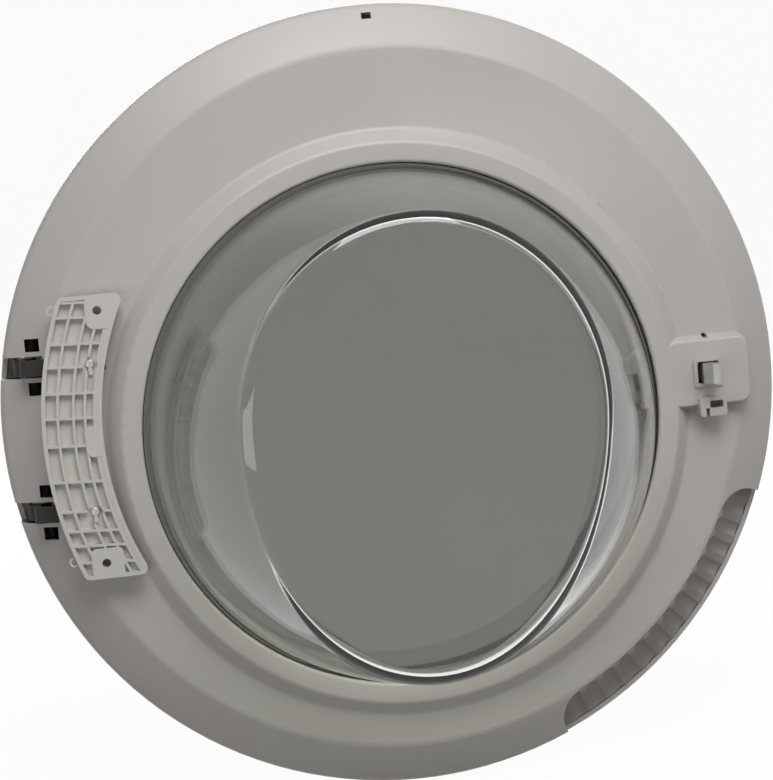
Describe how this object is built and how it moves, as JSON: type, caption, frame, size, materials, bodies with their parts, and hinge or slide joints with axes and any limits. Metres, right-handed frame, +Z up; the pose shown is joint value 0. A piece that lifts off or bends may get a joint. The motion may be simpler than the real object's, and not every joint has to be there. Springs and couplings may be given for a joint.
{
  "type": "front-load washer door",
  "caption": "Round front-load washer door with a deep glass bowl, a ribbed hinge leaf with arms, a sprung latch hook and a finger grip.",
  "frame": {"origin": "midway between the two hinge screws, on the leaf's mounting face, which lies on the machine's front panel", "axes": "+Z up, +X to the right as seen from the drum side, +Y from the drum towards the room"},
  "size_m": [0.48, 0.151, 0.48],
  "materials": {
    "grey_abs": "satin moulded plastic",
    "smoked_pmma": "smoked, polished",
    "clear_glass": "pressed glass",
    "black_rubber": "matt",
    "zinc_steel": "zinc plated",
    "dark_steel": "black coated steel",
    "dark_plastic": "matt",
    "black_plastic": "matt",
    "white_pom": "satin",
    "pale_plastic": "satin"
  },
  "bodies": {
    "hinge": {"hinge_leaf": "white_pom", "hinge_arm_upper": "dark_steel", "hinge_arm_lower": "dark_steel", "hinge_bush_upper": "white_pom", "hinge_bush_lower": "white_pom", "arm_stud_upper": "zinc_steel", "arm_stud_lower": "zinc_steel"},
    "door": {"inner_ring": "grey_abs", "front_ring": "grey_abs", "outer_window": "smoked_pmma", "glass_bowl": "clear_glass", "bowl_seal": "black_rubber", "clamp_ring": "zinc_steel", "clamp_screws": "zinc_steel", "grip": "dark_plastic", "hinge_carrier": "black_plastic", "carrier_screws": "zinc_steel", "hinge_pin_upper": "zinc_steel", "hinge_pin_lower": "zinc_steel", "latch_housing": "black_plastic", "latch_screws": "zinc_steel", "hook_pin": "zinc_steel", "hook_spring": "zinc_steel", "lock_guide": "pale_plastic"},
    "hook": {"latch_hook": "zinc_steel"}
  },
  "joints": [
    {"name": "door_swing", "type": "hinge", "parent": "hinge", "child": "door", "pos_m": [-0.0406, 0.031, 0], "axis": [0, 0, 1], "range_deg": [0, 115]},
    {"name": "hook_turn", "type": "hinge", "parent": "door", "child": "hook", "pos_m": [0.3714, 0.0115, 0.001], "axis": [0, 0, 1], "range_deg": [0, 12], "stiffness_Nm_per_rad": 0.05}
  ]
}
